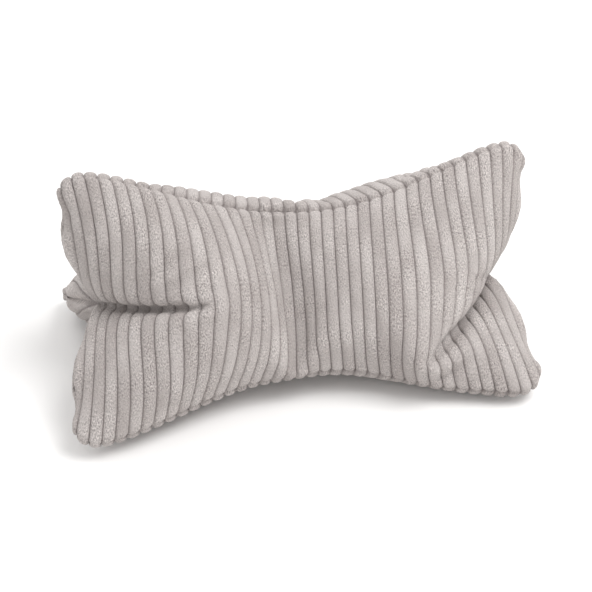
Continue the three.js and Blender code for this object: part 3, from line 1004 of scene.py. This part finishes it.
class PILLOW_OT_ribs(bpy.types.Operator):
    """Raise the ribs of the corduroy and finish the pillow"""

    bl_idname = "pillow.ribs"
    bl_label = "Raise the ribs"

    def execute(self, context):
        scene = context.scene
        cover = scene.objects["cover"]
        sizes, pitch = scene.pillow_ribs, scene.pillow_cut.rib_pitch
        values = {
            "Rib pitch": pitch,
            "Rib height": sizes.height,
            "Rib flatness": sizes.flatness,
            "Uneven height": sizes.uneven,
            "Rib end": sizes.seam_reach,
            "Seam groove": sizes.seam_groove,
            "End swell": sizes.end_swell,
            "Seed": sizes.seed,
            "Material": corduroy(scene.pillow_look, pitch),
        }
        ribs = cover.modifiers.new("ribs", "NODES")
        ribs.node_group = rib_tree()
        for item in ribs.node_group.interface.items_tree:
            if item.in_out == "INPUT" and item.name in values:
                ribs[item.identifier] = values[item.name]
        depsgraph = context.evaluated_depsgraph_get()
        mesh = bpy.data.meshes.new_from_object(cover.evaluated_get(depsgraph))
        cover.modifiers.remove(ribs)

        # Set the cover down in the middle of the solids' place, flat where it touches the floor
        places = np.zeros(len(mesh.vertices) * 3)
        mesh.vertices.foreach_get("co", places)
        places = places.reshape(-1, 3)
        places[:, 2] = np.maximum(places[:, 2] - FLOOR_LEVEL * MM, 0)
        low, high = np.array(CAD_BOX[0]), np.array(CAD_BOX[1])
        places[:, :2] += ((low + high - places.min(axis=0) - places.max(axis=0)) / 2)[:2]
        mesh.vertices.foreach_set("co", places.ravel())
        mesh.update()
        cover.data = mesh
        cover.data.name = "cover"
        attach(cover, "root")
        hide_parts(*PANELS)
        return {"FINISHED"}


class PILLOW_OT_studio(bpy.types.Operator):
    """Lay the floor and set the lights and the camera"""

    bl_idname = "pillow.studio"
    bl_label = "Set the studio"

    def execute(self, context):
        scene = context.scene
        studio = scene.pillow_studio
        turns = ((-1, -1), (1, -1), (1, 1), (-1, 1))
        corners = [(x * FLOOR_HALF, y * FLOOR_HALF, 0) for x, y in turns]
        mesh = bpy.data.meshes.new("floor")
        mesh.from_pydata(corners, [], [(0, 1, 2, 3)])
        mesh.materials.append(painted_floor(studio.floor))
        floor = show("floor", mesh)

        world = bpy.data.worlds.new("studio")
        world.use_nodes = True
        background = world.node_tree.nodes["Background"]
        background.inputs["Color"].default_value = linear("#ffffff")
        background.inputs["Strength"].default_value = studio.sky
        scene.world = world
        scene.view_settings.view_transform = "Standard"

        middle = (Vector(CAD_BOX[0]) + Vector(CAD_BOX[1])) / 2
        for light in LIGHTS:
            lamp = bpy.data.lights.new(light["name"], "AREA")
            lamp.size = light["size"]
            lamp.energy = light["share"] * studio.key
            stand = show(light["name"], lamp)
            stand.location = light["place"]
            aim = middle - stand.location
            stand.rotation_euler = aim.to_track_quat("-Z", "Y").to_euler()

        lens = bpy.data.cameras.new("camera")
        lens.lens = studio.lens
        lens.sensor_width = 36
        lens.shift_x, lens.shift_y = SHIFT
        camera = show("camera", lens)
        level = math.cos(studio.elevation)
        right, back = math.sin(studio.azimuth) * level, math.cos(studio.azimuth) * level
        away = Vector((right, -back, math.sin(studio.elevation)))
        camera.location = middle + away * studio.distance
        camera.rotation_euler = (-away).to_track_quat("-Z", "Y").to_euler()
        scene.camera = camera
        return {"FINISHED"}


class PILLOW_PT_panel(bpy.types.Panel):
    """Sizes, colours and steps of the pillow"""

    bl_idname = "PILLOW_PT_panel"
    bl_label = "Neck pillow"
    bl_space_type = "VIEW_3D"
    bl_region_type = "UI"
    bl_category = "Pillow"

    def draw(self, context):
        for name, operators in STEPS:
            box = self.layout.box()
            group = getattr(context.scene, name)
            for field in group.__annotations__:
                box.prop(group, field)
            for operator in operators:
                box.operator(operator.bl_idname)


GROUPS = {
    "pillow_cut": PillowCut,
    "pillow_stuffing": PillowStuffing,
    "pillow_ribs": PillowRibs,
    "pillow_look": PillowLook,
    "pillow_studio": PillowStudio,
}
STEPS = (
    ("pillow_cut", ()),
    ("pillow_stuffing", (PILLOW_OT_cover,)),
    ("pillow_look", ()),
    ("pillow_ribs", (PILLOW_OT_ribs,)),
    ("pillow_studio", (PILLOW_OT_studio,)),
)
CLASSES = (*GROUPS.values(), PILLOW_OT_cover, PILLOW_OT_ribs, PILLOW_OT_studio, PILLOW_PT_panel)


def register():
    for part in CLASSES:
        bpy.utils.register_class(part)
    for name, group in GROUPS.items():
        setattr(bpy.types.Scene, name, bpy.props.PointerProperty(type=group))


def unregister():
    for name in GROUPS:
        delattr(bpy.types.Scene, name)
    for part in reversed(CLASSES):
        bpy.utils.unregister_class(part)


def main():
    register()
    bpy.ops.pillow.cover()
    bpy.ops.pillow.ribs()
    bpy.ops.pillow.studio()


if __name__ == "__main__":
    main()
